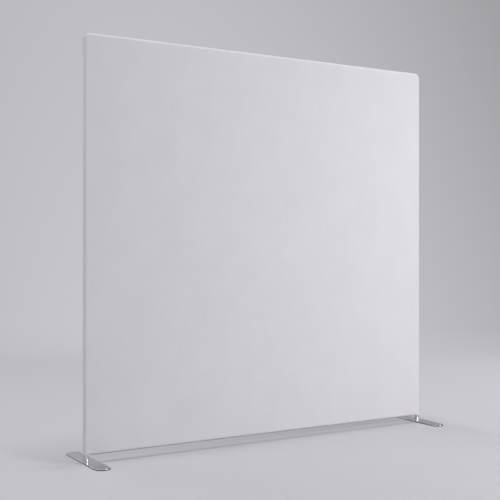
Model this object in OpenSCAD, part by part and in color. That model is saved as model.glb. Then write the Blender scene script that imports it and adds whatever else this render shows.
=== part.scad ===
// Free-standing acoustic divider screen: a plug-together tube frame in a
// stretched fabric sleeve with felt boards inside, on two flat steel feet.
// Millimetres. X runs along the screen, Y through it, Z up from the floor.

/* [Screen] */
// Width of the screen over its fabric
screen_w = 2344; // [1800:1:2600]
// Height of the top edge above the floor
screen_h = 2295; // [1800:1:2400]
// Height of the fabric's lower edge above the floor
hem_h = 45; // [44:1:90]

/* [Frame tube] */
// Outer diameter of the frame tube
tube_d = 30; // [29.5:0.1:32]
// Wall of the frame tube
tube_wall = 1.5; // [1.3:0.1:1.7]
// Centre-line radius of the two top elbows
elbow_r = 20; // [18:1:40]

/* [Joiners] */
// Length that a joiner reaches into each of its two tubes
joiner_reach = 60; // [54:1:90]
// Length of an elbow's spigots
spigot_l = 45; // [44:1:60]
// Wall of the joiners and spigots
joiner_wall = 2; // [1.6:0.1:2.2]
// Radial gap between a joiner and the tube round it
joiner_gap = 0.1; // [0.05:0.01:0.15]

/* [Snap buttons] */
// Diameter of a snap button
button_d = 8; // [7:0.5:8.5]
// Height of a button's head above the tube
button_stand = 2; // [1.5:0.1:2.5]
// Radial gap round a button in its holes
button_gap = 0.2; // [0.15:0.05:0.3]
// Thickness of the clip's spring strip
strip_t = 0.8; // [0.6:0.1:1]
// Width of the clip's spring strip
strip_w = 8; // [6:0.5:8]
// Length of the strip's moving arm beyond the button's centre
strip_l = 18; // [15:1:19]

/* [Blind rivets] */
// Diameter of a rivet's shank
rivet_d = 4; // [3.2:0.1:4.8]
// Diameter of a rivet's bulb inside the joiner
bulb_d = 6; // [5.2:0.1:6.5]
// Height of a rivet's bulb
bulb_h = 1.5; // [1:0.1:2]
// Radial gap round a rivet
rivet_gap = 0.05; // [0.03:0.01:0.1]

/* [Rail hooks] */
// Length of an end fitting's body between the upright and the rail
hook_l = 18; // [16:1:24]
// Length of an end fitting's spigot inside the rail
hook_spigot = 34; // [30:1:50]
// Diameter of the hook stud's neck
stud_d = 7; // [6:0.5:8]
// Diameter of the hook stud's head
stud_head_d = 12; // [11:0.5:13]
// Thickness of the hook stud's head
stud_head_t = 2; // [1.5:0.1:2.5]
// Drop from the keyhole's entry to its seat
key_drop = 14; // [13:1:20]
// Gap round the stud in the keyhole
key_gap = 0.3; // [0.2:0.05:0.5]

/* [Fabric sleeve] */
// Thickness of the stretch fabric
skin_t = 0.7; // [0.5:0.1:1]
// Gap between the fabric and the tube under it
skin_gap = 0.3; // [0.2:0.05:0.5]

/* [Zip] */
// Width of each zip tape
tape_w = 11.5; // [10:0.5:13]
// Gap between the two tapes under the coil
tape_slit = 1; // [0.6:0.1:1.4]
// Width of the closed coil
coil_w = 4.6; // [4:0.1:5]
// Height of the closed coil
coil_h = 1.8; // [1.5:0.1:2]
// Distance from an upright's axis to the end of the zip
zip_inset = 30; // [26:1:60]
// Length of an end stop
stop_l = 5; // [4:0.5:8]
// Length of the slider
slider_l = 13; // [12:0.5:16]
// Width of the slider's wide end
slider_w = 9; // [8.5:0.1:10]
// Wall of the slider
slider_t = 1.1; // [0.9:0.1:1.3]
// Running gap between the slider and the coil
slider_gap = 0.3; // [0.2:0.05:0.4]
// Length of the pull tab from its hinge
pull_l = 22; // [16:1:26]
// Width of the pull tab
pull_w = 7; // [6.5:0.1:8]
// Thickness of the pull tab
pull_t = 1.2; // [1:0.1:1.4]

/* [Acoustic boards] */
// Thickness of the felt boards
board_t = 28; // [20:1:29]
// Gap between a board and the upright beside it
board_side = 4; // [3:0.5:8]
// Gap between the boards and the top rail
board_top = 10; // [6:1:30]
// Gap between a board and what it stands on or meets
board_gap = 0.3; // [0.2:0.05:0.6]
// Radius of a board's corners
board_r = 15; // [12:1:30]

/* [Feet] */
// Width of a foot plate
plate_w = 85; // [70:1:120]
// Reach of a foot plate in front of the screen
plate_front = 205; // [150:1:300]
// Reach of a foot plate behind the screen
plate_back = 290; // [150:1:350]
// Thickness of a foot plate
plate_t = 5; // [4.5:0.5:8]
// Radius of a foot plate's upper edge
plate_edge_r = 1.5; // [1:0.1:2.5]
// Distance from the tube to the plate's nearer long edge
plate_margin = 0.5; // [0:0.5:20]
// Height of the spigot that the upright turns on
pivot_h = 44; // [30:1:44]
// Radial running gap between the spigot and the upright
pivot_gap = 0.05; // [0.02:0.01:0.09]
// Chamfer at the spigot's top
pivot_chamfer = 2; // [1:0.5:4]
// Diameter of the countersunk screw
screw_d = 8; // [6:1:8]
// Depth of the screw in the spigot
screw_depth = 20; // [14:1:26]
// Diameter of an anti-slip pad
pad_d = 24; // [16:1:24]
// Thickness of an anti-slip pad
pad_t = 1.5; // [1:0.1:3]

/* [Hidden] */
$fn = 64;

// Overrun of a cut beyond the face that it opens
cut = 0.5;

// Radii of the tube, of what plugs into it and of the sleeve round it
tube_r = tube_d / 2;
bore_r = tube_r - tube_wall;
joiner_r = bore_r - joiner_gap;
joiner_bore_r = joiner_r - joiner_wall;
sleeve_in = tube_r + skin_gap;
sleeve_out = sleeve_in + skin_t;

// Axes of the two uprights, with the origin below the middle of the whole outline
upright_span = screen_w - 2 * sleeve_out;
plate_near = tube_r + plate_margin;
plate_far = plate_w - plate_near;
left_x = -(sleeve_out + upright_span + plate_far) / 2 + sleeve_out;
right_x = left_x + upright_span;
mid_x = (left_x + right_x) / 2;
frame_y = (plate_front - plate_back) / 2;

// Heights of the rails' axes, of the foot plates and of the uprights' joints
rail_low_z = hem_h + sleeve_out;
rail_top_z = screen_h - sleeve_out;
plate_top = pad_t + plate_t;
upright_top = rail_top_z - elbow_r;
upright_mid_z = (plate_top + upright_top) / 2;

// Distance from a snap button to the face where its two tubes meet, and on to the rivet
button_setback = 25;
elbow_setback = 20;
rivet_setback = 25;
rivet_elbow_setback = 22;

// The snap button's parts, as distances from the tube's axis
button_r = button_d / 2;
button_hole_r = button_r + button_gap;
flange_r = button_r + strip_t;
flange_t = 1.2;
flange_out = sqrt(pow(joiner_bore_r, 2) - pow(flange_r, 2)) - button_gap;
flange_in = flange_out - flange_t;
arm_in = flange_in - strip_t;
button_out = tube_r + button_stand;
floor_in = sqrt(pow(joiner_bore_r, 2) - pow(strip_w / 2, 2)) - joiner_gap;

// The blind rivets' parts, as distances from the tube's axis
rivet_r = rivet_d / 2;
rivet_hole_r = rivet_r + rivet_gap;
bulb_out = sqrt(pow(joiner_bore_r, 2) - pow(bulb_d / 2, 2)) - rivet_gap;
bulb_in = bulb_out - bulb_h;
rivet_out = sqrt(pow(tube_r, 2) - pow(rivet_r, 2)) - rivet_gap;

// The rail hooks, as distances from an upright's axis
hook_start = tube_r / 2;
hook_end = hook_start + hook_l;
hook_web = tube_wall * 4;
head_out = sqrt(pow(bore_r, 2) - pow(stud_head_d / 2, 2)) - rivet_gap;
head_in = head_out - stud_head_t;
hook_rivet = hook_end + hook_spigot / 2;

// The rails' ends and joints
rail_start = left_x + hook_end;
rail_end = right_x - hook_end;
top_start = left_x + elbow_r;
top_end = right_x - elbow_r;
rail_joint_x = mid_x - button_setback;

// The zip along the lower rail, at the sleeve's lowest line
zip_start = left_x + zip_inset;
zip_end = right_x - zip_inset;
slit_half = tape_slit / 2;
tape_half = slit_half + tape_w;
coil_top = hem_h - rivet_gap;
coil_bottom = coil_top - coil_h;
channel_half = coil_w / 2 + slider_gap;
slider_floor = coil_bottom - slider_gap;
slider_bottom = slider_floor - slider_t;
slider_top = coil_top - slider_gap;
slider_x = zip_end - stop_l - slider_gap - slider_l / 2;

// The slider's bridge and the pull tab's round bar in it
bridge_w = 2;
bridge_t = 1.2;
bridge_open = 2.8;
bridge_half = 3.7;
bridge_bottom = slider_bottom - bridge_open - bridge_t;
pull_bar_r = 0.9;
pull_z = slider_bottom - bridge_open + slider_gap + pull_bar_r;
pull_window_half = bridge_w / 2 + slider_gap * 2;
pull_window_l = norm([bridge_half, pull_z - bridge_bottom]) + slider_gap;
pull_end_z = pull_z - pull_l;

// The boards between the rails
board_low = rail_low_z + tube_r + board_gap;
board_high = rail_top_z - tube_r - board_top;

// The feet
plate_mid = plate_w / 2 - plate_near;
plate_l = plate_front + plate_back;
pivot_r = bore_r - pivot_gap;
screw_r = screw_d / 2;
screw_head_r = screw_d;
screw_head_h = screw_head_r - screw_r;
screw_gap = 0.1;
socket_r = screw_d * 0.3;
socket_depth = screw_head_h * 0.6;
// Places of the pads along and across a foot plate, as shares of its length and width
pad_along_shares = [0.09, 0.5, 0.91];
pad_across_shares = [-0.3, 0.3];

// A ring between two radii, in the plane
module ring(outer, inner) {
    difference() {
        circle(r = outer);
        circle(r = inner);
    }
}

// A quarter of that ring, where X and Y are both positive
module quarter_ring(outer, inner) {
    intersection() {
        ring(outer, inner);
        square(outer + cut);
    }
}

// A straight pipe up from the origin
module pipe(length, outer, inner) {
    linear_extrude(length) ring(outer, inner);
}

// Turns an upright pipe so that it runs along X, with its +X side turned up
module along_x() {
    mirror([1, 0, -1]) children();
}

// Turns an upright pipe so that it runs along X, with its +X side turned down
module along_x_down() {
    rotate([0, 90, 0]) children();
}

// A round cut from the tube's axis out through its +X side
module side_hole(radius) {
    rotate([0, 90, 0]) cylinder(h = tube_r + cut, r = radius);
}

// An inline joiner: its own origin lies on the tube's axis at the button
module joiner_form() {
    color("gainsboro") difference() {
        translate([0, 0, -button_setback - joiner_reach])
            pipe(2 * joiner_reach, joiner_r, joiner_bore_r);
        side_hole(button_hole_r);
        translate([0, 0, -button_setback - rivet_setback]) side_hole(rivet_hole_r);
    }
}

// A top elbow, with its bend's centre at the origin, one spigot down and one to +X
module elbow_form() {
    color("silver") difference() {
        union() {
            rotate([90, 0, 0]) rotate([0, 0, 90]) rotate_extrude(angle = 90)
                translate([elbow_r, 0]) ring(tube_r, joiner_bore_r);
            translate([-elbow_r, 0, -spigot_l]) pipe(spigot_l, joiner_r, joiner_bore_r);
            translate([0, 0, elbow_r]) along_x() pipe(spigot_l, joiner_r, joiner_bore_r);
        }
        translate([-elbow_r, 0, -elbow_setback]) side_hole(button_hole_r);
        translate([rivet_elbow_setback, 0, elbow_r]) along_x_down() side_hole(rivet_hole_r);
    }
}

// A snap button on the moving arm of its clip, the arm running to +Z
module snap_button_form() {
    color("dimgray") union() {
        rotate([0, 90, 0]) translate([0, 0, flange_in])
            cylinder(h = button_out - flange_in, r = button_r);
        rotate([0, 90, 0]) translate([0, 0, flange_in]) cylinder(h = flange_t, r = flange_r);
        translate([arm_in, -strip_w / 2, -flange_r]) cube([strip_t, strip_w, strip_l + flange_r]);
    }
}

// The clip's still arm along the far wall, and the bend that rises beside the moving arm
module clip_spring_form() {
    translate([-floor_in, -strip_w / 2, -flange_r])
        cube([strip_t, strip_w, flange_r + strip_l + button_gap + strip_t]);
    translate([-floor_in, -strip_w / 2, strip_l + button_gap])
        cube([floor_in + flange_in, strip_w, strip_t]);
}

// A blind rivet through a tube and its joiner, flush outside and bulbed inside
module blind_rivet_form() {
    rotate([0, 90, 0]) translate([0, 0, bulb_in]) cylinder(h = bulb_h, r = bulb_d / 2);
    rotate([0, 90, 0]) translate([0, 0, bulb_in]) cylinder(h = rivet_out - bulb_in, r = rivet_r);
}

// A rail's end fitting, with its own origin on the upright's axis and the rail to +X
module rail_hook_form() {
    color("silver") difference() {
        union() {
            translate([hook_start, 0, 0]) along_x() cylinder(h = hook_l, r = tube_r);
            translate([hook_end, 0, 0]) along_x() cylinder(h = hook_spigot, r = joiner_r);
        }
        translate([0, 0, -tube_r - cut]) cylinder(h = 2 * (tube_r + cut), r = tube_r + joiner_gap);
        translate([tube_r + hook_web, 0, 0]) along_x()
            cylinder(h = hook_end + hook_spigot, r = joiner_bore_r);
        translate([hook_rivet, 0, 0]) along_x() side_hole(rivet_hole_r);
    }
    color("silver") translate([head_in, 0, 0]) along_x() cylinder(h = stud_head_t, r = stud_head_d / 2);
    color("silver") translate([head_in, 0, 0]) along_x()
        cylinder(h = tube_r + hook_web - head_in, r = stud_d / 2);
}

// The keyhole that the hook's stud drops into, cut through an upright's +X side
module keyhole() {
    neck_r = stud_d / 2 + key_gap;
    head_r = stud_head_d / 2 + key_gap;
    side_hole(neck_r);
    translate([0, -neck_r, 0]) cube([tube_r + cut, 2 * neck_r, key_drop]);
    translate([0, 0, key_drop]) side_hole(head_r);
}

// An upright's lower tube, with its foot at the origin and the rails to +X
module upright_lower_form() {
    color("silver") difference() {
        pipe(upright_mid_z - plate_top, tube_r, bore_r);
        translate([0, 0, rail_low_z - plate_top]) keyhole();
        translate([0, 0, upright_mid_z - plate_top - rivet_setback]) side_hole(rivet_hole_r);
    }
}

// An upright's upper tube, from the joint at the origin up to the elbow
module upright_upper_form() {
    color("silver") difference() {
        pipe(upright_top - upright_mid_z, tube_r, bore_r);
        translate([0, 0, button_setback]) side_hole(button_hole_r);
        translate([0, 0, upright_top - upright_mid_z - elbow_setback]) side_hole(button_hole_r);
    }
}

// A rail's tube with a rivet hole near its first end, a snap-button or rivet hole near its second
module rail_form(length, first_at, second_at, second_r) {
    difference() {
        pipe(length, tube_r, bore_r);
        translate([0, 0, first_at]) side_hole(rivet_hole_r);
        translate([0, 0, second_at]) side_hole(second_r);
    }
}

// The front face of the sleeve between the tube axes, in the plane of X and Z
module sheet_outline() {
    translate([left_x, rail_low_z]) square([upright_span, upright_top - rail_low_z]);
    translate([top_start, upright_top]) square([top_end - top_start, elbow_r]);
    translate([top_start, upright_top]) mirror([1, 0]) corner_disc();
    translate([top_end, upright_top]) corner_disc();
}

// A quarter disc that rounds the sheet at an elbow
module corner_disc() {
    intersection() {
        circle(r = elbow_r);
        square(elbow_r);
    }
}

// The sleeve round an upright: the outer quarter at full height, and all round at the hem
module sleeve_side() {
    translate([0, 0, hem_h]) linear_extrude(upright_top - hem_h)
        rotate(180) quarter_ring(sleeve_out, sleeve_in);
    translate([0, 0, hem_h]) linear_extrude(rail_low_z - hem_h)
        rotate(-90) quarter_ring(sleeve_out, sleeve_in);
}

// The sleeve's quarter round an elbow, with the bend's centre at the origin
module sleeve_corner() {
    rotate([90, 0, 0]) rotate([0, 0, 90]) rotate_extrude(angle = 90)
        translate([elbow_r, 0]) quarter_ring(sleeve_out, sleeve_in);
}

// Half of the sleeve, in front of the frame's plane
module sleeve_half() {
    difference() {
        union() {
            translate([0, -sleeve_in, 0]) rotate([90, 0, 0]) linear_extrude(skin_t) sheet_outline();
            translate([left_x, 0, 0]) sleeve_side();
            translate([right_x, 0, 0]) mirror([1, 0, 0]) sleeve_side();
            translate([top_start, 0, upright_top]) sleeve_corner();
            translate([top_end, 0, upright_top]) mirror([1, 0, 0]) sleeve_corner();
            translate([top_start, 0, rail_top_z]) rotate([90, 0, 90])
                linear_extrude(top_end - top_start) mirror([1, 0]) quarter_ring(sleeve_out, sleeve_in);
            translate([left_x, 0, rail_low_z]) rotate([90, 0, 90])
                linear_extrude(upright_span) hem_profile();
            translate([left_x, 0, 0]) hem_end();
            translate([right_x, 0, 0]) mirror([1, 0, 0]) hem_end();
        }
        translate([left_x, 0, hem_h - cut]) cylinder(h = rail_low_z - hem_h + cut, r = sleeve_in);
        translate([right_x, 0, hem_h - cut]) cylinder(h = rail_low_z - hem_h + cut, r = sleeve_in);
        translate([left_x, 0, rail_low_z]) along_x() cylinder(h = upright_span, r = sleeve_in);
    }
}

// The sleeve's profile round the lower rail, from the front down to the zip tape
module hem_profile() {
    difference() {
        rotate(180) quarter_ring(sleeve_out, sleeve_in);
        translate([-tape_half, -sleeve_out - cut]) square([tape_half, sleeve_out + cut]);
    }
}

// One zip tape, in front of the frame's plane
module zip_tape_half() {
    translate([zip_start, 0, rail_low_z]) rotate([90, 0, 90]) linear_extrude(zip_end - zip_start)
        intersection() {
            ring(sleeve_out, sleeve_in);
            translate([-tape_half, -sleeve_out]) square([tape_w, sleeve_out]);
        }
}

// The closed end of the hem between the tape and the sleeve round an upright
module hem_end() {
    translate([0, 0, rail_low_z]) rotate([90, 0, 90]) linear_extrude(zip_inset)
        intersection() {
            rotate(180) quarter_ring(sleeve_out, sleeve_in);
            translate([-tape_half, -sleeve_out - cut]) square([tape_half, sleeve_out + cut]);
        }
}

// One end stop of the zip, starting at the origin and running to +X
module zip_stop_form() {
    translate([0, -coil_w / 2, coil_bottom]) cube([stop_l, coil_w, coil_h]);
}

// Half of a foot plate's section from its middle, with a rounded upper edge
module plate_section() {
    half = plate_w / 2;
    square([half, plate_t - plate_edge_r]);
    square([half - plate_edge_r, plate_t]);
    translate([half - plate_edge_r, plate_t - plate_edge_r]) intersection() {
        circle(r = plate_edge_r);
        square(plate_edge_r);
    }
}

// A foot plate, with its own origin on the upright's axis at the floor
module foot_plate_form() {
    first_y = plate_w / 2 - plate_front;
    last_y = plate_back - plate_w / 2;
    color("darkgray") difference() {
        translate([plate_mid, 0, pad_t]) union() {
            translate([0, last_y, 0]) rotate_extrude(angle = 180) plate_section();
            translate([0, first_y, 0]) rotate([0, 0, 180]) rotate_extrude(angle = 180) plate_section();
            translate([0, last_y, 0]) rotate([90, 0, 0]) linear_extrude(last_y - first_y) {
                plate_section();
                mirror([1, 0]) plate_section();
            }
        }
        translate([0, 0, pad_t - cut]) cylinder(h = plate_t + 2 * cut, r = screw_r + screw_gap);
        translate([0, 0, pad_t]) cylinder(h = screw_head_h, r1 = screw_head_r, r2 = screw_r);
    }
}

// The round spigot that an upright stands and turns on, tapped from below for its screw
module foot_spigot_form() {
    color("lightgray") difference() {
        translate([0, 0, plate_top]) union() {
            cylinder(h = pivot_h - pivot_chamfer, r = pivot_r);
            translate([0, 0, pivot_h - pivot_chamfer])
                cylinder(h = pivot_chamfer, r1 = pivot_r, r2 = pivot_r - pivot_chamfer);
        }
        translate([0, 0, plate_top - cut]) cylinder(h = screw_depth + screw_gap + cut, r = screw_r + screw_gap);
    }
}

// The countersunk screw that holds a spigot to its plate from below
module foot_screw_form() {
    color("dimgray") difference() {
        union() {
            translate([0, 0, pad_t + screw_gap])
                cylinder(h = screw_head_h - screw_gap, r1 = screw_head_r - screw_gap * 2, r2 = screw_r);
            translate([0, 0, pad_t + screw_gap])
                cylinder(h = plate_t + screw_depth - screw_gap, r = screw_r);
        }
        translate([0, 0, pad_t]) cylinder(h = socket_depth, r = socket_r, $fn = 6);
    }
}

// The anti-slip pads under a foot plate
module foot_pads_form() {
    color("darkslategray") for (along = pad_along_shares, across = pad_across_shares)
        translate([plate_mid + across * plate_w, along * plate_l - plate_front, 0])
            cylinder(h = pad_t, r = pad_d / 2);
}

// Places a form on the left or the right upright's axis, the right one mirrored
module on_left(z) {
    translate([left_x, frame_y, z]) children();
}
module on_right(z) {
    translate([right_x, frame_y, z]) mirror([1, 0, 0]) children();
}

// The same for the feet, which both turn the same way
module under_right() {
    translate([right_x, frame_y, 0]) children();
}

module upright_left_lower() on_left(plate_top) upright_lower_form();
module upright_right_lower() on_right(plate_top) upright_lower_form();
module upright_left_upper() on_left(upright_mid_z) upright_upper_form();
module upright_right_upper() on_right(upright_mid_z) upright_upper_form();

module top_rail_left() {
    length = rail_joint_x - top_start;
    color("silver") translate([top_start, frame_y, rail_top_z]) along_x_down()
        rail_form(length, rivet_elbow_setback, length - rivet_setback, rivet_hole_r);
}

module top_rail_right() {
    length = top_end - rail_joint_x;
    color("silver") translate([rail_joint_x, frame_y, rail_top_z]) along_x_down()
        rail_form(length, length - rivet_elbow_setback, button_setback, button_hole_r);
}

module bottom_rail_left() {
    length = rail_joint_x - rail_start;
    color("silver") translate([rail_start, frame_y, rail_low_z]) along_x()
        rail_form(length, hook_rivet - hook_end, length - rivet_setback, rivet_hole_r);
}

module bottom_rail_right() {
    length = rail_end - rail_joint_x;
    color("silver") translate([rail_joint_x, frame_y, rail_low_z]) along_x()
        rail_form(length, length - hook_rivet + hook_end, button_setback, button_hole_r);
}

module elbow_left() translate([top_start, frame_y, upright_top]) elbow_form();
module elbow_right() translate([top_end, frame_y, upright_top]) mirror([1, 0, 0]) elbow_form();

module joiner_upright_left() on_left(upright_mid_z + button_setback) joiner_form();
module joiner_upright_right() on_right(upright_mid_z + button_setback) joiner_form();
module joiner_top_rail() translate([mid_x, frame_y, rail_top_z]) along_x_down() joiner_form();
module joiner_bottom_rail() translate([mid_x, frame_y, rail_low_z]) along_x() joiner_form();

module rail_hook_left() on_left(rail_low_z) rail_hook_form();
module rail_hook_right() on_right(rail_low_z) rail_hook_form();

// The six snap-button places: each child is drawn with its arm away from the rivet
module at_upright_left() on_left(upright_mid_z + button_setback) children();
module at_upright_right() on_right(upright_mid_z + button_setback) children();
module at_elbow_left() on_left(upright_top - elbow_setback) mirror([0, 0, 1]) children();
module at_elbow_right() on_right(upright_top - elbow_setback) mirror([0, 0, 1]) children();
module at_top_rail() translate([mid_x, frame_y, rail_top_z]) along_x_down() children();
module at_bottom_rail() translate([mid_x, frame_y, rail_low_z]) along_x() children();

module snap_button_upright_left() at_upright_left() snap_button_form();
module snap_button_upright_right() at_upright_right() snap_button_form();
module snap_button_elbow_left() at_elbow_left() snap_button_form();
module snap_button_elbow_right() at_elbow_right() snap_button_form();
module snap_button_top_rail() at_top_rail() snap_button_form();
module snap_button_bottom_rail() at_bottom_rail() snap_button_form();

module clip_springs() color("slategray") {
    at_upright_left() clip_spring_form();
    at_upright_right() clip_spring_form();
    at_elbow_left() clip_spring_form();
    at_elbow_right() clip_spring_form();
    at_top_rail() clip_spring_form();
    at_bottom_rail() clip_spring_form();
}

module blind_rivets() color("gainsboro") {
    joint_rivet = -button_setback - rivet_setback;
    at_upright_left() translate([0, 0, joint_rivet]) blind_rivet_form();
    at_upright_right() translate([0, 0, joint_rivet]) blind_rivet_form();
    at_top_rail() translate([0, 0, joint_rivet]) blind_rivet_form();
    at_bottom_rail() translate([0, 0, joint_rivet]) blind_rivet_form();
    translate([top_start + rivet_elbow_setback, frame_y, rail_top_z]) along_x_down() blind_rivet_form();
    translate([top_end - rivet_elbow_setback, frame_y, rail_top_z]) along_x_down() blind_rivet_form();
    on_left(rail_low_z) translate([hook_rivet, 0, 0]) along_x() blind_rivet_form();
    on_right(rail_low_z) translate([hook_rivet, 0, 0]) along_x() blind_rivet_form();
}

module cover_front() color("whitesmoke") translate([0, frame_y, 0]) sleeve_half();
module cover_back() color("gainsboro") translate([0, frame_y, 0]) mirror([0, 1, 0]) sleeve_half();

module zip_tape_front() color("lightgray") translate([0, frame_y, 0]) zip_tape_half();
module zip_tape_back() color("lightgray") translate([0, frame_y, 0]) mirror([0, 1, 0]) zip_tape_half();

module zip_coil() {
    start = zip_start + stop_l;
    color("gray") translate([start, frame_y - coil_w / 2, coil_bottom])
        cube([zip_end - stop_l - start, coil_w, coil_h]);
}

module zip_stops() color("silver") {
    translate([zip_start, frame_y, 0]) zip_stop_form();
    translate([zip_end - stop_l, frame_y, 0]) zip_stop_form();
}

// The slider: a channel under the coil, wider at the end that leads, with a bridge below
module zip_slider() {
    half = slider_l / 2;
    color("silver") translate([slider_x, frame_y, 0]) {
        difference() {
            translate([0, 0, slider_bottom]) linear_extrude(slider_top - slider_bottom)
                polygon([[-half, -channel_half - slider_t], [0, -channel_half - slider_t],
                    [half, -slider_w / 2], [half, slider_w / 2],
                    [0, channel_half + slider_t], [-half, channel_half + slider_t]]);
            translate([-half - cut, -channel_half, slider_floor])
                cube([slider_l + 2 * cut, 2 * channel_half, slider_top - slider_floor + cut]);
        }
        difference() {
            translate([-bridge_half, -bridge_w / 2, bridge_bottom])
                cube([2 * bridge_half, bridge_w, slider_bottom - bridge_bottom]);
            translate([-bridge_half + bridge_t, -bridge_w / 2 - cut, bridge_bottom + bridge_t])
                cube([2 * (bridge_half - bridge_t), bridge_w + 2 * cut, bridge_open]);
        }
    }
}

// The pull tab, hanging from its round bar in the slider's bridge
module zip_pull() {
    end_r = pull_w / 2;
    color("silver") translate([slider_x, frame_y, 0]) {
        translate([0, pull_w / 2, pull_z]) rotate([90, 0, 0]) cylinder(h = pull_w, r = pull_bar_r);
        translate([pull_t / 2, 0, 0]) rotate([90, 0, -90]) linear_extrude(pull_t) difference() {
            union() {
                translate([-end_r, pull_end_z + end_r]) square([pull_w, pull_z - pull_end_z - end_r]);
                translate([0, pull_end_z + end_r]) circle(r = end_r);
            }
            translate([-pull_window_half, pull_z - pull_window_l])
                square([2 * pull_window_half, pull_window_l + cut]);
        }
    }
}

// A felt board with rounded corners, standing on the lower rail
module board(x_low, x_high) {
    size = [x_high - x_low, board_high - board_low];
    color("lightsteelblue") translate([x_low, frame_y + board_t / 2, board_low]) rotate([90, 0, 0])
        linear_extrude(board_t) union() {
            translate([board_r, 0]) square([size.x - 2 * board_r, size.y]);
            translate([0, board_r]) square([size.x, size.y - 2 * board_r]);
            for (x = [board_r, size.x - board_r], y = [board_r, size.y - board_r])
                translate([x, y]) circle(r = board_r);
        }
}

module acoustic_board_left() board(left_x + tube_r + board_side, mid_x - board_gap / 2);
module acoustic_board_right() board(mid_x + board_gap / 2, right_x - tube_r - board_side);

module foot_plate_left() on_left(0) foot_plate_form();
module foot_plate_right() under_right() foot_plate_form();
module foot_spigot_left() on_left(0) foot_spigot_form();
module foot_spigot_right() under_right() foot_spigot_form();
module foot_screw_left() on_left(0) foot_screw_form();
module foot_screw_right() under_right() foot_screw_form();
module foot_pads_left() on_left(0) foot_pads_form();
module foot_pads_right() under_right() foot_pads_form();

upright_left_lower();
upright_left_upper();
upright_right_lower();
upright_right_upper();
top_rail_left();
top_rail_right();
bottom_rail_left();
bottom_rail_right();
elbow_left();
elbow_right();
joiner_upright_left();
joiner_upright_right();
joiner_top_rail();
joiner_bottom_rail();
rail_hook_left();
rail_hook_right();
clip_springs();
blind_rivets();
snap_button_upright_left();
snap_button_upright_right();
snap_button_elbow_left();
snap_button_elbow_right();
snap_button_top_rail();
snap_button_bottom_rail();
cover_front();
cover_back();
zip_tape_front();
zip_tape_back();
zip_coil();
zip_stops();
zip_slider();
zip_pull();
acoustic_board_left();
acoustic_board_right();
foot_plate_left();
foot_plate_right();
foot_spigot_left();
foot_spigot_right();
foot_screw_left();
foot_screw_right();
foot_pads_left();
foot_pads_right();
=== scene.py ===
import math

import bmesh
import bpy
import numpy as np
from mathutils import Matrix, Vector


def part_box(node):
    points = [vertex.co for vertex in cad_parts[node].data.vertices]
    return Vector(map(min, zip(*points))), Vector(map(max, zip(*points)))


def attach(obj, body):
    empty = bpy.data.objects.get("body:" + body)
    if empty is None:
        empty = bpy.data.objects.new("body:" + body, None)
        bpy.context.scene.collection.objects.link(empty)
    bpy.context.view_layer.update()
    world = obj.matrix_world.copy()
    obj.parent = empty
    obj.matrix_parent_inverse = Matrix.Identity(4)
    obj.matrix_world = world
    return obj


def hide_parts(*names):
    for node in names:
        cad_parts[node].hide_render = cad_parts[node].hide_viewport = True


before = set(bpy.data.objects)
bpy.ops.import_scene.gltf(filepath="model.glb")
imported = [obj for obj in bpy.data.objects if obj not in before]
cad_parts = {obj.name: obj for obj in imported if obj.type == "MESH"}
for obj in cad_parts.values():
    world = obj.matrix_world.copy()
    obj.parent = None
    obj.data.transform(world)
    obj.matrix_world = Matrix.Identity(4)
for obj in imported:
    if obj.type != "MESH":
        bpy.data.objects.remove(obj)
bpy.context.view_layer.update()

# Foot plates
# Two bars of stainless steel, 5 mm thick and 85 mm wide with half-round ends, on which the uprights
# stand. They are laser cut, brushed lengthwise, and rounded and polished along the upper edge. The
# cut sides are dark with oxide, and darker still with painted shade for the shadow along the plates' foot.


def new_finish(name, color, metallic, roughness, **sockets):
    """A material whose shader has these plain values."""
    material = bpy.data.materials.new(name)
    material.use_nodes = True
    shader = material.node_tree.nodes["Principled BSDF"]
    shader.inputs["Base Color"].default_value = (*color, 1)
    shader.inputs["Metallic"].default_value = metallic
    shader.inputs["Roughness"].default_value = roughness
    for socket, value in sockets.items():
        shader.inputs[socket.replace("_", " ")].default_value = value
    return material


def add_node(material, kind, inputs=None, **settings):
    """A shader node with these settings; an input that is another node's output is linked."""
    node = material.node_tree.nodes.new("ShaderNode" + kind)
    for setting, value in settings.items():
        setattr(node, setting, value)
    for socket, value in (inputs or {}).items():
        if isinstance(value, bpy.types.NodeSocket):
            material.node_tree.links.new(value, node.inputs[socket])
        else:
            node.inputs[socket].default_value = value
    return node


def place(material):
    """Where a point of the surface lies on the piece, in metres."""
    return add_node(material, "TexCoord").outputs["Object"]


def noise(material, scale, detail=2.0, rough=0.5):
    """Noise with its own scale along X, Y and Z, in waves per metre."""
    scaled = add_node(material, "VectorMath", {0: place(material), 1: scale}, operation="MULTIPLY")
    inputs = {"Vector": scaled.outputs[0], "Scale": 1.0, "Detail": detail, "Roughness": rough}
    return add_node(material, "TexNoise", inputs).outputs[0]


def calc(material, operation, *values):
    """The outcome of one Math node."""
    return add_node(material, "Math", dict(enumerate(values)), operation=operation).outputs[0]


def weighed(material, start, *terms):
    """A start value plus each term's share of a node's output."""
    total = start
    for share, value in terms:
        total = calc(material, "ADD", calc(material, "MULTIPLY", value, share), total)
    return total


def span(material, value, low, high, to_low=0.0, to_high=1.0):
    """The value's place between low and high, carried over to another range and held inside it."""
    return add_node(material, "MapRange", {"Value": value, "From Min": low, "From Max": high,
                                           "To Min": to_low, "To Max": to_high}).outputs[0]


def shade(material, factor, dark, light):
    """A colour between dark and light."""
    ramp = add_node(material, "ValToRGB", {"Fac": factor})
    ramp.color_ramp.elements[0].color = (*dark, 1)
    ramp.color_ramp.elements[1].color = (*light, 1)
    return ramp.outputs[0]


def into(material, socket, value):
    """Links a node's output to one of the shader's sockets."""
    shader = material.node_tree.nodes["Principled BSDF"]
    material.node_tree.links.new(value, shader.inputs[socket])


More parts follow.
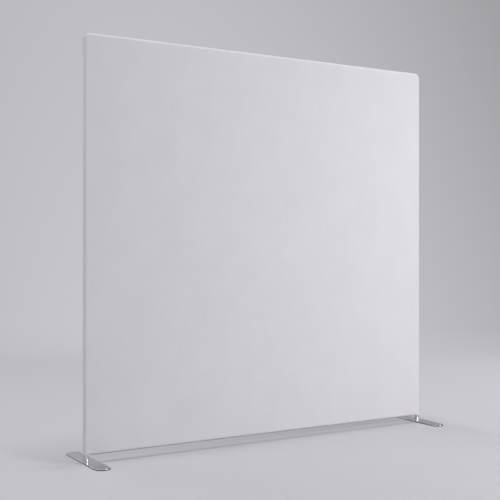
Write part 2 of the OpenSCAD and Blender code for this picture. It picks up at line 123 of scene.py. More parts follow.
def relief(material, height, depth, strength=1.0):
    """Bump of this depth in metres."""
    bump = add_node(material, "Bump", {"Height": height, "Distance": depth, "Strength": strength})
    into(material, "Normal", bump.outputs[0])


def clad(node, material):
    """Gives a CAD node its finish."""
    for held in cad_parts[node].material_slots:
        held.material = material


# The rounded edge's radius, and the height over which its brushed face changes to the cut side, dark with
# oxide and painted shade
PLATE_EDGE = 0.0015
SIDE_BLEND = 0.0003


def plate_finish(node):
    """Brushed steel with a polished band along its rounded upper edge, and cut sides dark with oxide and
    painted shade.
    """
    low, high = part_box(node)
    half = (high.x - low.x) / 2
    middle_x = (low.x + high.x) / 2
    steel = new_finish(node + "_steel", (0.5, 0.5, 0.51), 1.0, 0.32)
    grain = noise(steel, (1400, 16, 1400), 4)
    wear = noise(steel, (26, 9, 26), 3)
    x, y, z = add_node(steel, "SeparateXYZ", {0: place(steel)}).outputs
    # How far a point is from the line that joins the centres of the two round ends
    off_x = calc(steel, "SUBTRACT", x, middle_x)
    past_back = calc(steel, "SUBTRACT", y, high.y - half)
    past_front = calc(steel, "SUBTRACT", low.y + half, y)
    off_y = calc(steel, "MAXIMUM", calc(steel, "MAXIMUM", past_back, past_front), 0.0)
    offset = add_node(steel, "CombineXYZ", {0: off_x, 1: off_y}).outputs[0]
    from_axis = add_node(steel, "VectorMath", {0: offset}, operation="LENGTH").outputs["Value"]
    band = span(steel, from_axis, half - 2 * PLATE_EDGE, half - PLATE_EDGE)
    mixed = weighed(steel, 0.0, (0.5, grain), (0.5, wear))
    tone = weighed(steel, mixed, (0.5, band))
    brushed = shade(steel, span(steel, tone, 0.3, 1.0), (0.5, 0.5, 0.51), (0.72, 0.72, 0.73))
    # The cut sides: dark oxide, with painted shade for the shadow along the plate's lower edge
    oxide_and_painted_shade = shade(steel, noise(steel, (90, 90, 2600), 3), (0.045, 0.045, 0.047), (0.1, 0.1, 0.103))
    on_side = span(steel, z, high.z - PLATE_EDGE, high.z - PLATE_EDGE - SIDE_BLEND)
    base = add_node(steel, "Mix", {0: on_side, 6: brushed, 7: oxide_and_painted_shade}, data_type="RGBA").outputs[2]
    into(steel, "Base Color", base)
    matt = span(steel, mixed, 0.35, 0.65, 0.22, 0.40)
    into(steel, "Roughness", calc(steel, "MULTIPLY", matt, span(steel, band, 0, 1, 1, 0.5)))
    relief(steel, grain, 0.00004, 0.5)
    return steel


for side in ("left", "right"):
    clad("foot_plate_" + side, plate_finish("foot_plate_" + side))

# Anti-slip pads
# Six round pads of black rubber stuck under each foot plate. They are punched from a sheet with a
# fine pebbled face, and lift the plate 1.5 mm off the floor.

rubber = new_finish("pad_rubber", (0.05, 0.05, 0.053), 0.0, 0.75)
pebbles = add_node(rubber, "TexVoronoi", {"Vector": place(rubber), "Scale": 900.0})
mottle = noise(rubber, (120, 120, 120))
into(rubber, "Base Color", shade(rubber, mottle, (0.035, 0.035, 0.037), (0.075, 0.075, 0.08)))
relief(rubber, pebbles.outputs["Distance"], 0.0002, 0.6)
for side in ("left", "right"):
    clad("foot_pads_" + side, rubber)

# Spigots and their screws
# Round steel spigots, turned with a chamfer at the top, that stand on the plates and carry the
# uprights. A countersunk zinc-plated socket screw from below holds each of them.

turned = new_finish("turned_steel", (0.6, 0.6, 0.61), 1.0, 0.3)
rings = noise(turned, (8, 8, 3200), 2)
into(turned, "Base Color", shade(turned, rings, (0.5, 0.5, 0.51), (0.68, 0.68, 0.69)))
into(turned, "Roughness", span(turned, rings, 0.3, 0.7, 0.22, 0.36))
relief(turned, rings, 0.00003, 0.6)
zinc = new_finish("zinc_plate", (0.4, 0.41, 0.42), 1.0, 0.4)
spangle = noise(zinc, (500, 500, 500), 3)
into(zinc, "Base Color", shade(zinc, spangle, (0.3, 0.31, 0.32), (0.5, 0.51, 0.53)))
relief(zinc, spangle, 0.00002, 0.5)
for side in ("left", "right"):
    clad("foot_spigot_" + side, turned)
    clad("foot_screw_" + side, zinc)

# Upright and rail tubes
# Round aluminium tube of 30 mm, drawn, polished bright and clear anodised, cut square at the ends.
# Faint drawing lines run along it, with light rub marks where the tubes slide over their joiners.


def tube_finish(name, lengthwise):
    """Polished tube with drawing lines along one axis, as dark as the photograph shows it."""
    # Its base colour is darker than clear anodised aluminium: painted shade standing in for the dark
    # surroundings that the tubes reflect.
    polish = new_finish(name, (0.6, 0.605, 0.615), 1.0, 0.08)
    lines = noise(polish, tuple(5 if axis == lengthwise else 900 for axis in "XYZ"), 3)
    rubs = noise(polish, tuple(60 if axis == lengthwise else 220 for axis in "XYZ"), 4, 0.6)
    into(polish, "Base Color", shade(polish, lines, (0.54, 0.545, 0.555), (0.66, 0.665, 0.675)))
    gloss = span(polish, lines, 0.3, 0.7, 0.05, 0.11)
    into(polish, "Roughness", weighed(polish, gloss, (0.1, span(polish, rubs, 0.5, 0.75))))
    relief(polish, lines, 0.00001, 0.5)
    return polish


upright_polish = tube_finish("upright_polish", "Z")
rail_polish = tube_finish("rail_polish", "X")
for side in ("left", "right"):
    clad("upright_" + side + "_lower", upright_polish)
    clad("upright_" + side + "_upper", upright_polish)
    clad("top_rail_" + side, rail_polish)
    clad("bottom_rail_" + side, rail_polish)

# Joiners, elbows and rail hooks
# Joiners are short lengths of plain extruded tube; the elbows and the rails' end fittings are
# tumbled die castings. Each is riveted into one tube and plugs into, or hooks on, the next.

extruded = new_finish("extruded_aluminium", (0.7, 0.71, 0.72), 1.0, 0.38)
die_lines = noise(extruded, (700, 700, 60), 3)
into(extruded, "Base Color", shade(extruded, die_lines, (0.6, 0.61, 0.62), (0.78, 0.79, 0.8)))
into(extruded, "Roughness", span(extruded, die_lines, 0.3, 0.7, 0.3, 0.46))
relief(extruded, die_lines, 0.00003, 0.5)
cast = new_finish("tumbled_casting", (0.66, 0.67, 0.68), 1.0, 0.42)
tumbled = noise(cast, (420, 420, 420), 5, 0.65)
dings = add_node(cast, "TexVoronoi", {"Vector": place(cast), "Scale": 260.0}).outputs["Distance"]
into(cast, "Base Color", shade(cast, tumbled, (0.56, 0.57, 0.58), (0.74, 0.75, 0.76)))
into(cast, "Roughness", span(cast, tumbled, 0.3, 0.7, 0.34, 0.52))
relief(cast, weighed(cast, tumbled, (0.5, dings)), 0.0001, 0.4)
for place_name in ("upright_left", "upright_right", "top_rail", "bottom_rail"):
    clad("joiner_" + place_name, extruded)
for side in ("left", "right"):
    clad("elbow_" + side, cast)
    clad("rail_hook_" + side, cast)

# Snap buttons, their clips and the blind rivets
# Each button is turned steel pressed into the moving arm of a bent spring-steel clip inside its
# joiner. Blind aluminium rivets, flush outside, fix joiners, elbows and hooks in their tubes.

spring = new_finish("spring_steel", (0.42, 0.42, 0.43), 1.0, 0.3)
rolled = noise(spring, (300, 300, 300), 3)
into(spring, "Base Color", shade(spring, rolled, (0.34, 0.34, 0.35), (0.5, 0.5, 0.51)))
into(spring, "Roughness", span(spring, rolled, 0.3, 0.7, 0.24, 0.4))
relief(spring, rolled, 0.00003, 0.4)
rivet_metal = new_finish("rivet_aluminium", (0.74, 0.74, 0.75), 1.0, 0.3)
set_marks = noise(rivet_metal, (800, 800, 800), 2)
into(rivet_metal, "Base Color", shade(rivet_metal, set_marks, (0.66, 0.66, 0.67), (0.8, 0.8, 0.81)))
relief(rivet_metal, set_marks, 0.00003, 0.4)
for place_name in ("upright_left", "upright_right", "elbow_left", "elbow_right", "top_rail", "bottom_rail"):
    clad("snap_button_" + place_name, spring)
clad("clip_springs", spring)
clad("blind_rivets", rivet_metal)

# Acoustic boards
# Two stiff boards of pressed polyester felt, 28 mm thick, that fill the frame and meet in the middle.
# Each is two sheets bonded face to face, cut with rounded corners, and stands loose on the lower rail.

felt = new_finish("pressed_felt", (0.4, 0.41, 0.43), 0.0, 0.95, Sheen_Weight=0.3, Sheen_Roughness=0.6)
fibres = noise(felt, (900, 900, 900), 4, 0.7)
heather = noise(felt, (260, 260, 60), 3)
felt_tone = weighed(felt, 0.0, (0.6, fibres), (0.4, heather))
into(felt, "Base Color", shade(felt, felt_tone, (0.24, 0.25, 0.265), (0.56, 0.57, 0.59)))
relief(felt, fibres, 0.0004, 0.8)

BOARD_CORNER = 0.015
BOARD_CORNER_STEPS = 8
# Points of a board's soft edge: how far each lies inside the outline, and how far below the face
SOFT_EDGE = [(0.004, 0.0), (0.0012, 0.0007), (0.0002, 0.0025), (0.0, 0.004)]
# The groove where a board's two sheets meet: half its width, and its depth
BOND_HALF = 0.0007
BOND_DEPTH = 0.0006


def rounded_outline(x_low, x_high, z_low, z_high, radius):
    """Points round a rectangle with rounded corners, in the plane of X and Z."""
    left, right, bottom, top = x_low + radius, x_high - radius, z_low + radius, z_high - radius
    outline = []
    corners = ((right, top, 0), (left, top, 90), (left, bottom, 180), (right, bottom, 270))
    for centre_x, centre_z, first in corners:
        for step in range(BOARD_CORNER_STEPS + 1):
            turn = math.radians(first + 90 * step / BOARD_CORNER_STEPS)
            outline.append((centre_x + radius * math.cos(turn), centre_z + radius * math.sin(turn)))
    return outline


def loop_faces(loops, size, order=1):
    """Faces that join closed loops of points and close both ends; an order of -1 turns them round."""
    faces = []
    for row in range(loops - 1):
        here, there = row * size, (row + 1) * size
        for i in range(size):
            j = (i + 1) % size
            faces.append((here + i, here + j, there + j, there + i)[::order])
    faces.append(tuple(range(size))[::-order])
    faces.append(tuple(range((loops - 1) * size, loops * size))[::order])
    return faces


def new_piece(name, vertices, faces, material):
    """A smooth-shaded mesh object from its points and faces."""
    mesh = bpy.data.meshes.new(name)
    mesh.from_pydata([tuple(v) for v in vertices], [], [tuple(f) for f in faces])
    mesh.polygons.foreach_set("use_smooth", [True] * len(mesh.polygons))
    mesh.materials.append(material)
    mesh.update()
    piece = bpy.data.objects.new(name, mesh)
    bpy.context.scene.collection.objects.link(piece)
    return piece


def felt_board(side):
    """One board, with soft edges and the bond line of its two sheets round its sides."""
    low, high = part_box("acoustic_board_" + side)
    half, middle = (high.y - low.y) / 2, (high.y + low.y) / 2
    # How far each loop lies inside the outline, and its distance from the board's middle plane
    section = [(inset, half - down) for inset, down in SOFT_EDGE]
    section += [(0.0, BOND_HALF), (BOND_DEPTH, 0.0), (0.0, -BOND_HALF)]
    section += [(inset, down - half) for inset, down in reversed(SOFT_EDGE)]
    vertices = []
    for inset, off in section:
        outline = rounded_outline(low.x + inset, high.x - inset, low.z + inset, high.z - inset,
                                  BOARD_CORNER - inset)
        vertices += [(x, middle + off, z) for x, z in outline]
    faces = loop_faces(len(section), len(vertices) // len(section))
    board = new_piece("felt_board_" + side, vertices, faces, felt)
    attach(board, "screen")
    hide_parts("acoustic_board_" + side)


for side in ("left", "right"):
    felt_board(side)

# Fabric sleeve
# A front and a back half of fine knitted polyester, cut about 4 % under size, overlocked together
# along the outside of the uprights and the top rail and pulled taut over the frame like a pillowcase.

knit = new_finish("knitted_polyester", (0.686, 0.677, 0.705), 0.0, 0.85,
                  Sheen_Weight=0.12, Sheen_Roughness=0.5)
# The knit's columns and rows of loops
WALE = 0.0011
COURSE = 0.0009
knit_at = add_node(knit, "SeparateXYZ", {0: place(knit)}).outputs
wales = calc(knit, "SINE", calc(knit, "MULTIPLY", knit_at["X"], math.tau / WALE))
courses = calc(knit, "SINE", calc(knit, "MULTIPLY", knit_at["Z"], math.tau / COURSE))
loops = calc(knit, "MULTIPLY", calc(knit, "MULTIPLY", wales, courses), 0.5)
yarn = noise(knit, (60, 60, 420), 4, 0.6)
cloud = noise(knit, (7, 7, 5), 4, 0.6)
fleck = noise(knit, (240, 240, 240), 3, 0.7)
slub = calc(knit, "SUBTRACT", noise(knit, (110, 110, 110), 2, 0.6), 0.5)
knit_tone = weighed(knit, 0.0, (0.1, loops), (0.3, yarn), (0.5, cloud), (0.2, fleck), (0.4, slub))
knit_shade = shade(knit, span(knit, knit_tone, 0.2, 0.8), (0.648, 0.639, 0.667), (0.724, 0.715, 0.743))
into(knit, "Base Color", knit_shade)
relief(knit, weighed(knit, loops, (0.6, yarn)), 0.00025, 0.5)

sleeve_low, sleeve_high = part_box("cover_front")
tube_low, tube_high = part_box("upright_left_lower")
FRAME_Y = ((tube_low + tube_high) / 2).y
SLEEVE_R = FRAME_Y - sleeve_low.y
LEFT_X, RIGHT_X = sleeve_low.x + SLEEVE_R, sleeve_high.x - SLEEVE_R
HEM_Z = sleeve_low.z
RAIL_LOW_Z, RAIL_TOP_Z = HEM_Z + SLEEVE_R, sleeve_high.z - SLEEVE_R
BEND = 0.02
CLOTH = 0.0007
TAPE_HALF = 0.012
TAPE_ANGLE = math.acos(TAPE_HALF / SLEEVE_R)
ZIP_INSET = 0.03
ZIP_LOW_X, ZIP_HIGH_X = LEFT_X + ZIP_INSET, RIGHT_X - ZIP_INSET
TINY = 1e-6
WELD = 0.00002

# The mesh: steps round the tubes, round a bend, over a bend's radius and down a collar
ROUND_STEPS = 12
BEND_STEPS = 10
RADIUS_STEPS = 4
COLLAR_STEPS = 4
# Past a bend's radius from the edge each step is wider than the one before, up to the widest. No step
# ends nearer to the middle than the gap
STEP_GROWTH = 1.25
WIDEST_STEP = 0.045
MIDDLE_GAP = 0.02


def graded(low, high, fine):
    """Positions from low to high, close together near both ends and wide apart between."""
    near = [0.0]
    step = fine
    while near[-1] + step < (high - low) / 2 - MIDDLE_GAP:
        near.append(near[-1] + step)
        step = fine if near[-1] < BEND - TINY else min(step * STEP_GROWTH, WIDEST_STEP)
    return [low + d for d in near] + [high - d for d in reversed(near)]


# How far from the edge the field reaches its full relief, the swell's height, and the pull lines'
# height and reach
FLAT_MARGIN = 0.08
SWELL = 0.0006
PULL = 0.0005
PULL_REACH = 0.16


def tension(x, z):
    """How far the taut cloth stands out of its plane: pull lines at the top corners and a slow swell."""
    from_edge = min(x - LEFT_X, RIGHT_X - x, RAIL_TOP_Z - z, z - RAIL_LOW_Z)
    rise = min(max(from_edge / FLAT_MARGIN, 0), 1)
    rise = rise * rise * (3 - 2 * rise)
    slow = SWELL * (math.sin(3.1 * x + 1.3 * z + 0.4) + 0.6 * math.sin(-2.3 * x + 4.7 * z + 2.1))
    pulls = 0.0
    for corner_x in (LEFT_X, RIGHT_X):
        away_x, away_z = abs(x - corner_x), RAIL_TOP_Z - z
        turn = math.atan2(away_z, away_x)
        pulls += PULL * math.exp(-math.hypot(away_x, away_z) / PULL_REACH) * math.sin(9 * turn + 0.7)
    return rise * (slow + pulls)


# Angles in degrees from the front tangent to the seam on the outside, and how far the cloth lies off its
# radius there: the last four make the seam's ridge
rim = [(90 * step / ROUND_STEPS, 0.0) for step in range(ROUND_STEPS)]
rim += [(85.5, 0.0003), (87.5, 0.0006), (89.0, 0.0005), (89.9, -0.0001)]
# The same angles from the front tangent down to the hem's edge, with the edge of the zip's tape among them
hem_turns = sorted([turn for turn, proud in rim[:-1]] + [math.degrees(TAPE_ANGLE), 90.0])


def round_at(turn, proud=0.0):
    """The cloth's reach out from a tube's middle and off the frame's plane, at an angle in degrees."""
    a = math.radians(turn)
    return (SLEEVE_R + proud) * math.sin(a), (SLEEVE_R + proud) * math.cos(a)


def hem_x(x, sink):
    """Where a column of the field goes on in the hem: next to an upright the columns crowd to the mitre."""
    if x < LEFT_X + BEND:
        return LEFT_X + sink + (x - LEFT_X) * (1 - sink / BEND)
    if x > RIGHT_X - BEND:
        return RIGHT_X - sink - (RIGHT_X - x) * (1 - sink / BEND)
    return x


def sleeve_half(name, side):
    """Front (side -1) or back (side +1) half: flat field, round sides, top, corners, hem and collars."""
    vertices, faces = [], []
    known = {}

    def point(x, off, z):
        key = (round(x, 6), round(off, 6), round(z, 6))
        if key not in known:
            known[key] = len(vertices)
            vertices.append((x, FRAME_Y + side * off, z))
        return known[key]

    def patch(rows):
        grid = [[point(*p) for p in row] for row in rows]
        for above, below in zip(grid, grid[1:]):
            for i in range(len(above) - 1):
                face = []
                for v in (above[i], above[i + 1], below[i + 1], below[i]):
                    if v not in face:
                        face.append(v)
                if len(face) > 2:
                    faces.append(face)

    def field_point(x, z):
        return (x, SLEEVE_R + tension(x, z), z)

    xs = sorted(graded(LEFT_X, RIGHT_X, BEND / RADIUS_STEPS) + [ZIP_LOW_X, ZIP_HIGH_X])
    zs = graded(RAIL_LOW_Z, RAIL_TOP_Z, BEND / RADIUS_STEPS)
    low_top = RAIL_TOP_Z - BEND
    patch([[field_point(x, z) for x in xs] for z in zs if z < low_top + TINY])
    inner = [x for x in xs if LEFT_X + BEND - TINY < x < RIGHT_X - BEND + TINY]
    patch([[field_point(x, z) for x in inner] for z in zs if z > low_top - TINY])
    turns = [math.radians(90 * step / BEND_STEPS) for step in range(BEND_STEPS + 1)]
    for centre_x, out in ((LEFT_X + BEND, -1), (RIGHT_X - BEND, 1)):
        rows = []
        for share in range(RADIUS_STEPS + 1):
            radius = BEND * share / RADIUS_STEPS
            rows.append([field_point(centre_x + out * radius * math.cos(t), low_top + radius * math.sin(t))
                         for t in turns])
        patch(rows)

    # The round side, the bends and half of the top, swept along one path of places and outward directions
    def bend(centre_x, first):
        path = []
        for step in range(BEND_STEPS + 1):
            t = math.radians(first - 90 * step / BEND_STEPS)
            nx, nz = math.cos(t), math.sin(t)
            path.append((centre_x + BEND * nx, low_top + BEND * nz, nx, nz))
        return path

    upright_zs = [z for z in zs if z < low_top - TINY]
    stations = [(LEFT_X, z, -1.0, 0.0) for z in upright_zs] + bend(LEFT_X + BEND, 180)
    stations += [(x, RAIL_TOP_Z, 0.0, 1.0) for x in inner[1:-1]] + bend(RIGHT_X - BEND, 90)
    stations += [(RIGHT_X, z, 1.0, 0.0) for z in reversed(upright_zs)]
    rows = []
    for turn, proud in rim:
        reach, off = round_at(turn, proud)
        rows.append([(x + nx * reach, off, z + nz * reach) for x, z, nx, nz in stations])
    patch(rows)

    # Below the field: a collar round each upright, and the hem round the lower rail up to the zip's tape
    def drop(x, off, top):
        return [(x, off, top + (HEM_Z - top) * k / COLLAR_STEPS) for k in range(COLLAR_STEPS + 1)]

    for axis_x, out in ((LEFT_X, -1), (RIGHT_X, 1)):
        outer, inward = [], []
        for turn, proud in rim:
            reach, off = round_at(turn, proud)
            outer.append(drop(axis_x + out * reach, off, RAIL_LOW_Z))
        for turn in hem_turns:
            sink, off = round_at(turn)
            inward.append(drop(axis_x - out * sink, off, RAIL_LOW_Z - sink))
        patch(outer)
        patch(inward)
    open_rows, left_rows, right_rows = [], [], []
    for turn in hem_turns:
        sink, off = round_at(turn)
        row = [(hem_x(x, sink), off, RAIL_LOW_Z - sink) for x in xs]
        if turn < math.degrees(TAPE_ANGLE) + TINY:
            open_rows.append(row)
        # Past the zip's ends the hem runs on to the middle
        if turn > math.degrees(TAPE_ANGLE) - TINY:
            left_rows.append([p for p in row if p[0] < ZIP_LOW_X + TINY])
            right_rows.append([p for p in row if p[0] > ZIP_HIGH_X - TINY])
    for rows in (open_rows, left_rows, right_rows):
        patch(rows)
    half = new_piece(name, vertices, faces, knit)
    # Points that meet become one, and every face looks outward, as the one in the middle of the field does
    cloth = bmesh.new()
    cloth.from_mesh(half.data)
    bmesh.ops.remove_doubles(cloth, verts=cloth.verts, dist=WELD)
    bmesh.ops.recalc_face_normals(cloth, faces=cloth.faces)
    centre = Vector((0, FRAME_Y, 1.2))
    middle = min(cloth.faces, key=lambda f: (f.calc_center_median() - centre).length)
    if middle.normal.y * side < 0:
        bmesh.ops.reverse_faces(cloth, faces=cloth.faces)
    cloth.to_mesh(half.data)
    cloth.free()
    thick = half.modifiers.new("cloth", "SOLIDIFY")
    thick.thickness = CLOTH
    thick.offset = -1
    return half


# Each stitch is a short thread with rounded ends, laid along its row and half sunk in the cloth
STITCH_SIDES = 6


def stitch_rows(name, rows, length, radius, material):
    """Many stitches as one mesh, from a list of each one's (centre, direction, outward)."""
    vertices, faces = [], []
    # Places along a stitch and its thickness there, as shares of its length and radius
    profile = [(-0.5, 0.0), (-0.38, 0.8), (0.0, 1.0), (0.38, 0.8), (0.5, 0.0)]
    for centre, direction, outward in rows:
        across = direction.cross(outward)
        first = len(vertices)
        vertices.append(centre - direction * length / 2)
        for share, width in profile[1:-1]:
            for k in range(STITCH_SIDES):
                t = math.tau * k / STITCH_SIDES
                vertices.append(centre + direction * length * share
                                + (outward * math.sin(t) + across * math.cos(t)) * radius * width)
        vertices.append(centre + direction * length / 2)
        last = len(vertices) - 1
        for k in range(STITCH_SIDES):
            m = (k + 1) % STITCH_SIDES
            faces.append((first, first + 1 + m, first + 1 + k))
            for ring in range(len(profile) - 3):
                low = first + 1 + ring * STITCH_SIDES
                faces.append((low + k, low + m, low + STITCH_SIDES + m, low + STITCH_SIDES + k))
            faces.append((last, last - STITCH_SIDES + k, last - STITCH_SIDES + m))
    return new_piece(name, vertices, faces, material)


thread = new_finish("sewing_thread", (0.72, 0.715, 0.745), 0.0, 0.6, Sheen_Weight=0.2)
ply = noise(thread, (2500, 2500, 2500), 2)
into(thread, "Base Color", shade(thread, ply, (0.64, 0.635, 0.665), (0.8, 0.795, 0.825)))
relief(thread, ply, 0.00008, 0.6)

STITCH = 0.0026
STITCH_PITCH = 0.0034
THREAD_R = 0.00022
# How far the two rows of stitches lie from the edge of the zip's tape, as angles round the hem
STITCH_ROWS = (0.12, 0.32)
STITCH_COUNT = int((ZIP_HIGH_X - ZIP_LOW_X) / STITCH_PITCH)
for name, side in (("front", -1), ("back", 1)):
    half = sleeve_half("sleeve_" + name, side)
    rows = []
    for apart in STITCH_ROWS:
        turn = TAPE_ANGLE - apart
        outward = Vector((0, side * math.cos(turn), -math.sin(turn)))
        for i in range(STITCH_COUNT):
            x = ZIP_LOW_X + (i + 0.5) * STITCH_PITCH
            centre = Vector((x, FRAME_Y, RAIL_LOW_Z)) + outward * SLEEVE_R
            rows.append((centre, Vector((1, 0, 0)), outward))
    hem_stitches = stitch_rows("hem_stitches_" + name, rows, STITCH, THREAD_R, thread)
    for piece in (half, hem_stitches):
        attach(piece, "screen")
    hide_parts("cover_" + name)

# Zip
# A coil zip sewn along the hem under the lower rail, so that the sleeve comes off for washing. Its
# tapes are woven polyester, its teeth a polyester coil, and its slider, pull and stops plated zinc.

tape_weave = new_finish("woven_tape", (0.62, 0.62, 0.64), 0.0, 0.8, Sheen_Weight=0.1)
WEFT_PITCH = 0.0007
WARP_PITCH = 0.0006
tape_at = add_node(tape_weave, "SeparateXYZ", {0: place(tape_weave)}).outputs
weft = calc(tape_weave, "SINE", calc(tape_weave, "MULTIPLY", tape_at["X"], math.tau / WEFT_PITCH))
warp = calc(tape_weave, "SINE", calc(tape_weave, "MULTIPLY", tape_at["Y"], math.tau / WARP_PITCH))
twill = calc(tape_weave, "MULTIPLY", weft, warp)
twill_shade = shade(tape_weave, span(tape_weave, twill, -1, 1), (0.54, 0.54, 0.56), (0.7, 0.7, 0.72))
into(tape_weave, "Base Color", twill_shade)
relief(tape_weave, twill, 0.00015, 0.6)
coil_plastic = new_finish("coil_polyester", (0.6, 0.6, 0.62), 0.0, 0.35)
coil_tone = noise(coil_plastic, (700, 700, 700), 2)
into(coil_plastic, "Base Color", shade(coil_plastic, coil_tone, (0.54, 0.54, 0.56), (0.66, 0.66, 0.68)))
into(coil_plastic, "Roughness", span(coil_plastic, coil_tone, 0.3, 0.7, 0.28, 0.42))
plated = new_finish("plated_zinc", (0.7, 0.7, 0.71), 1.0, 0.2)
plating = noise(plated, (600, 600, 600), 4)
into(plated, "Base Color", shade(plated, plating, (0.62, 0.62, 0.63), (0.78, 0.78, 0.79)))
into(plated, "Roughness", span(plated, plating, 0.3, 0.7, 0.14, 0.28))
relief(plated, plating, 0.00003, 0.4)

# A tape's thickness, and how far its inner edge stays off the frame's plane
TAPE_T = 0.0005
TAPE_IN = 0.0005
TAPE_STEPS = 8
TAPE_STATIONS = 60
outer_r, inner_r = SLEEVE_R - CLOTH / 2, SLEEVE_R - CLOTH / 2 - TAPE_T
tape_span = math.acos(TAPE_IN / SLEEVE_R) - TAPE_ANGLE
turns = [TAPE_ANGLE + tape_span * k / TAPE_STEPS for k in range(TAPE_STEPS + 1)]
loop = [(outer_r, t) for t in turns] + [(inner_r, t) for t in reversed(turns)]
for name, side in (("front", -1), ("back", 1)):
    vertices = []
    for x in np.linspace(ZIP_LOW_X, ZIP_HIGH_X, TAPE_STATIONS):
        vertices += [(x, FRAME_Y + side * r * math.cos(t), RAIL_LOW_Z - r * math.sin(t)) for r, t in loop]
    faces = loop_faces(TAPE_STATIONS, len(loop), side)
    tape = new_piece("zip_tape_weave_" + name, vertices, faces, tape_weave)
    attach(tape, "screen")
    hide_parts("zip_tape_" + name)

TOOTH_PITCH = 0.0015
# How far the teeth of one side reach past the coil's middle, between those of the other
TOOTH_LAP = 0.0007
coil_low, coil_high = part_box("zip_coil")
coil_mid = (coil_low + coil_high) / 2
coil_half = (coil_high.y - coil_low.y) / 2
tooth_l = coil_half + TOOTH_LAP
rows = []
for i in range(int((coil_high.x - coil_low.x - TOOTH_PITCH) / TOOTH_PITCH)):
    x = coil_low.x + (i + 1) * TOOTH_PITCH
    for side, shift in ((-1, 0), (1, TOOTH_PITCH / 2)):
        centre = Vector((x + shift, coil_mid.y + side * (coil_half - tooth_l / 2), coil_mid.z))
        rows.append((centre, Vector((0, 1, 0)), Vector((0, 0, -1))))
teeth = stitch_rows("zip_teeth", rows, tooth_l, (coil_high.z - coil_low.z) / 2, coil_plastic)
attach(teeth, "screen")
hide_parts("zip_coil")


def eased_copy(node, name, width):
    """A CAD node's form with its edges eased, as casting and tumbling leave them."""
    piece = bpy.data.objects.new(name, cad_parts[node].data.copy())
    bpy.context.scene.collection.objects.link(piece)
    form = bmesh.new()
    form.from_mesh(piece.data)
    bmesh.ops.remove_doubles(form, verts=form.verts, dist=TINY)
    bmesh.ops.dissolve_limit(form, angle_limit=math.radians(1), verts=form.verts, edges=form.edges)
    form.to_mesh(piece.data)
    form.free()
    ease = piece.modifiers.new("eased edges", "BEVEL")
    ease.width = width
    ease.segments = 3
    ease.limit_method = "ANGLE"
    ease.angle_limit = math.radians(40)
    ease.harden_normals = False
    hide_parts(node)
    return piece


for node, body, width in (("zip_stops", "screen", 0.0005), ("zip_slider", "zip_slider", 0.0003),
                          ("zip_pull", "zip_pull", 0.0003)):
    piece = eased_copy(node, node + "_casting", width)
    piece.data.materials.clear()
    piece.data.materials.append(plated)
    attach(piece, body)

# Studio
# A round pale floor under an evenly pale sky, with soft boxes at the right, low in front and at the
# left, a strip straight above the screen, a weak soft box at the back left, and an even weak fill.

VIEW_TURN = math.radians(-31.48)
camera = bpy.data.objects.new("photo_camera", bpy.data.cameras.new("photo_camera"))
camera.location = (-3.06626, -4.79096, 1.15723)
camera.rotation_euler = (math.radians(90), 0, VIEW_TURN)
camera.data.sensor_width = 36
camera.data.lens = 68.08
camera.data.shift_y = -0.0074
camera.data.clip_end = 200
bpy.context.scene.collection.objects.link(camera)
bpy.context.scene.camera = camera

FLOOR_R = 8.0
RIM_POINTS = 160
EVEN_GLOW = 0.575
BACKDROP = (0.983, 0.973, 1.043, 1)
# The camera's distance from the origin along its view, and how far to either side the gradients go per
# metre from it, which is a little past the photograph's edges
CAMERA_BACK = 5.687
FIELD_SLOPE = 0.27
forward = Vector((-math.sin(VIEW_TURN), math.cos(VIEW_TURN), 0))
sideways = Vector((forward.y, -forward.x, 0))


def along(material, vector, axis):
    """How far a vector reaches along an axis."""
    return add_node(material, "VectorMath", {0: vector, 1: axis}, operation="DOT_PRODUCT").outputs["Value"]


def eased(material, value, low, high):
    """0 below low and 1 above high, with a soft change between them."""
    limits = {0: value, 1: low, 2: high}
    return add_node(material, "MapRange", limits, interpolation_type="SMOOTHSTEP").outputs[0]


def between(material, share, start, end):
    """The start value at a share of 0, and the end value at a share of 1."""
    rest = calc(material, "SUBTRACT", end, start)
    return calc(material, "ADD", calc(material, "MULTIPLY", share, rest), start)


def seen_rays(material):
    """1 for what the camera, metal and glass see, and 0 for the light that falls on things."""
    rays = add_node(material, "LightPath").outputs
    direct = calc(material, "MAXIMUM", rays["Is Camera Ray"], rays["Is Glossy Ray"])
    return calc(material, "MAXIMUM", direct, rays["Is Transmission Ray"])


# The floor is lit paper round the screen. Further out it glows with the backdrop's colour, and in the
# photograph's field that glow carries painted light falloff: it darkens a little away from the screen and
# to the left
paper = new_finish("studio_paper", (0.62, 0.613, 0.648), 0.0, 0.9, Specular_IOR_Level=0.1)
pulp = noise(paper, (3, 3, 3), 3)
into(paper, "Base Color", shade(paper, pulp, (0.615, 0.608, 0.643), (0.635, 0.628, 0.663)))
spot = place(paper)
spot_at = add_node(paper, "SeparateXYZ", {0: spot}).outputs
across = along(paper, spot, sideways)
depth = along(paper, spot, forward)
# The depth past 1.3 m, and the depth from 5 m on, each held in the range that its gradient was fitted to
far = span(paper, depth, 1.3, 4.3, 0.0, 3.0)
beyond = span(paper, depth, 3.0, 8.0, -2.0, 3.0)
near_glow = weighed(paper, 0.5757, (0.0165, across), (-0.0134, far),
                    (-0.0009, calc(paper, "MULTIPLY", far, across)))
far_glow = weighed(paper, 0.5732, (-0.007, across), (-0.0069, calc(paper, "MULTIPLY", across, across)),
                   (0.0048, beyond), (-0.0023, calc(paper, "MULTIPLY", across, beyond)))
painted_falloff = between(paper, eased(paper, depth, 3.0, 5.2), near_glow, far_glow)
past_field = weighed(paper, calc(paper, "ABSOLUTE", across),
                     (-FIELD_SLOPE, calc(paper, "ADD", depth, CAMERA_BACK)))
in_field = calc(paper, "SUBTRACT", 1.0, eased(paper, past_field, 0.1, 1.2))
floor_glow = between(paper, in_field, EVEN_GLOW, painted_falloff)
backdrop = add_node(paper, "Emission", {0: BACKDROP, 1: floor_glow})
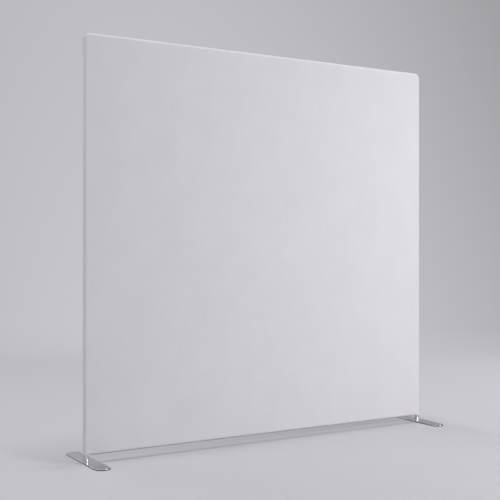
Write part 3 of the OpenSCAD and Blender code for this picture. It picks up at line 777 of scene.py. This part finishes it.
# The paper ends softly: far into the view, behind the screen, past its right end, towards the camera,
# and past its left end. There the glow's painted light takes the place of the lit paper and of the screen's
# shadow on it
away = 0.0
for value, near, clear in ((depth, 0.4, 1.6), (spot_at["Y"], -0.1, 0.9), (spot_at["X"], 1.13, 1.42),
                           (calc(paper, "MULTIPLY", depth, -1.0), 1.6, 2.6),
                           (calc(paper, "MULTIPLY", spot_at["X"], -1.0), 1.26, 1.56)):
    away = calc(paper, "MAXIMUM", eased(paper, value, near, clear), away)
lit_paper = paper.node_tree.nodes["Principled BSDF"].outputs[0]
seen_floor = add_node(paper, "MixShader", {0: calc(paper, "MULTIPLY", seen_rays(paper), away),
                                           1: lit_paper, 2: backdrop.outputs[0]})
# From below the floor is see-through
under = add_node(paper, "NewGeometry").outputs["Backfacing"]
clear_air = add_node(paper, "BsdfTransparent").outputs[0]
one_way = add_node(paper, "MixShader", {0: under, 1: seen_floor.outputs[0], 2: clear_air})
paper.node_tree.links.new(one_way.outputs[0], paper.node_tree.nodes["Material Output"].inputs["Surface"])
rim_turns = [math.tau * k / RIM_POINTS for k in range(RIM_POINTS)]
floor_rim = [Vector((FLOOR_R * math.cos(a), FLOOR_R * math.sin(a), 0)) for a in rim_turns]
studio_floor = new_piece("studio_floor", floor_rim, [tuple(range(RIM_POINTS))], paper)

# The sky goes on with the floor's colour, and darkens to the right and upward in the photograph's field
world = bpy.data.worlds.new("studio_air")
bpy.context.scene.world = world
world.use_nodes = True
fill = world.node_tree.nodes["Background"]
fill.inputs[0].default_value = (0.985, 0.98, 1.0, 1)
fill.inputs[1].default_value = 0.35
gaze = add_node(world, "TexCoord").outputs["Generated"]
gaze_up = add_node(world, "SeparateXYZ", {0: gaze}).outputs[2]
gaze_side = span(world, along(world, gaze, sideways), -FIELD_SLOPE, FIELD_SLOPE, -FIELD_SLOPE, FIELD_SLOPE)
gaze_rise = span(world, gaze_up, -0.2, 0.27, -0.2, 0.27)
sky_drift = weighed(world, 0.5728, (-0.193, gaze_side), (-0.2057, gaze_rise),
                    (-1.3021, calc(world, "MULTIPLY", gaze_side, gaze_side)),
                    (-0.4169, calc(world, "MULTIPLY", gaze_side, gaze_rise)),
                    (-0.1969, calc(world, "MULTIPLY", gaze_rise, gaze_rise)))
ahead = eased(world, along(world, gaze, forward), 0.8, 0.93)
sky = add_node(world, "Background", {0: BACKDROP, 1: between(world, ahead, EVEN_GLOW, sky_drift)})
seen_sky = add_node(world, "MixShader", {0: seen_rays(world), 1: fill.outputs[0], 2: sky.outputs[0]})
world.node_tree.links.new(seen_sky.outputs[0], world.node_tree.nodes["World Output"].inputs["Surface"])


def soft_light(name, spot, towards, width, height, power):
    """A rectangular area light that the camera doesn't see."""
    light = bpy.data.lights.new(name, "AREA")
    light.shape = "RECTANGLE"
    light.size, light.size_y = width, height
    light.energy = power
    lamp = bpy.data.objects.new(name, light)
    lamp.location = spot
    lamp.visible_camera = False
    lamp.rotation_euler = (Vector(towards) - Vector(spot)).to_track_quat("-Z", "Y").to_euler()
    bpy.context.scene.collection.objects.link(lamp)


soft_light("key_light", (3.3, -4.3, 2.2), (0.0, 0.0, 0.9), 1.6, 2.0, 158)
soft_light("low_light", (-0.2, -6.4, 2.6), (0.0, 0.0, 0.7), 2.4, 1.2, 32)
soft_light("top_light", (0.0, -0.06, 4.6), (0.0, -0.06, 0.0), 3.6, 0.2, 36)
soft_light("back_light", (-2.2, 4.6, 3.2), (0.0, 0.0, 1.1), 2.6, 2.0, 36)
soft_light("left_light", (-4.4, 0.3, 3.2), (-2.2, 0.3, 0.0), 1.6, 1.6, 47)

bpy.context.scene.view_settings.view_transform = "Standard"
